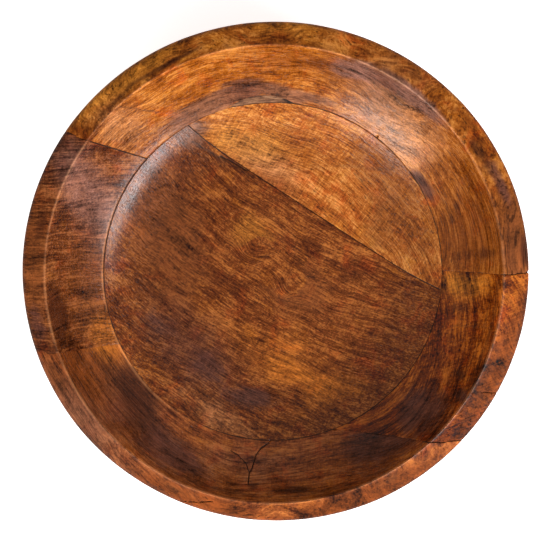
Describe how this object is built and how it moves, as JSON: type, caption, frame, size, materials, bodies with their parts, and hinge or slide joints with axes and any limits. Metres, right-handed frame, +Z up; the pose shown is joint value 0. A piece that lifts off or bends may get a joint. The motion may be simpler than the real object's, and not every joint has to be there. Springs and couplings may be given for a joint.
{
  "type": "turned wooden bowl",
  "caption": "Low round serving bowl turned from glued-up hardwood, with a thick flaring wall, a sloping rim band, a nearly flat floor and a flat foot.",
  "frame": {"origin": "centre of the flat foot, on the surface the bowl stands on", "axes": "+Z up through the mouth; -Y towards the front wall block, +X towards the right-hand wall block, as seen from above"},
  "size_m": [0.3, 0.3, 0.06],
  "materials": {
    "base_wood_dark": "oiled, satin",
    "base_wood_light": "oiled, satin",
    "wall_wood_amber": "oiled, satin",
    "wall_wood_purple": "oiled, satin",
    "wall_wood_brown": "oiled, satin",
    "wall_wood_tan": "oiled, satin",
    "filler": "sanded flush, satin"
  },
  "bodies": {
    "root": {"base_board_wide": "base_wood_dark", "base_board_narrow": "base_wood_light", "wall_block_back": "wall_wood_amber", "wall_block_left": "wall_wood_purple", "wall_block_front": "wall_wood_brown", "wall_block_right": "wall_wood_tan", "joint_filler": "filler"}
  },
  "joints": []
}
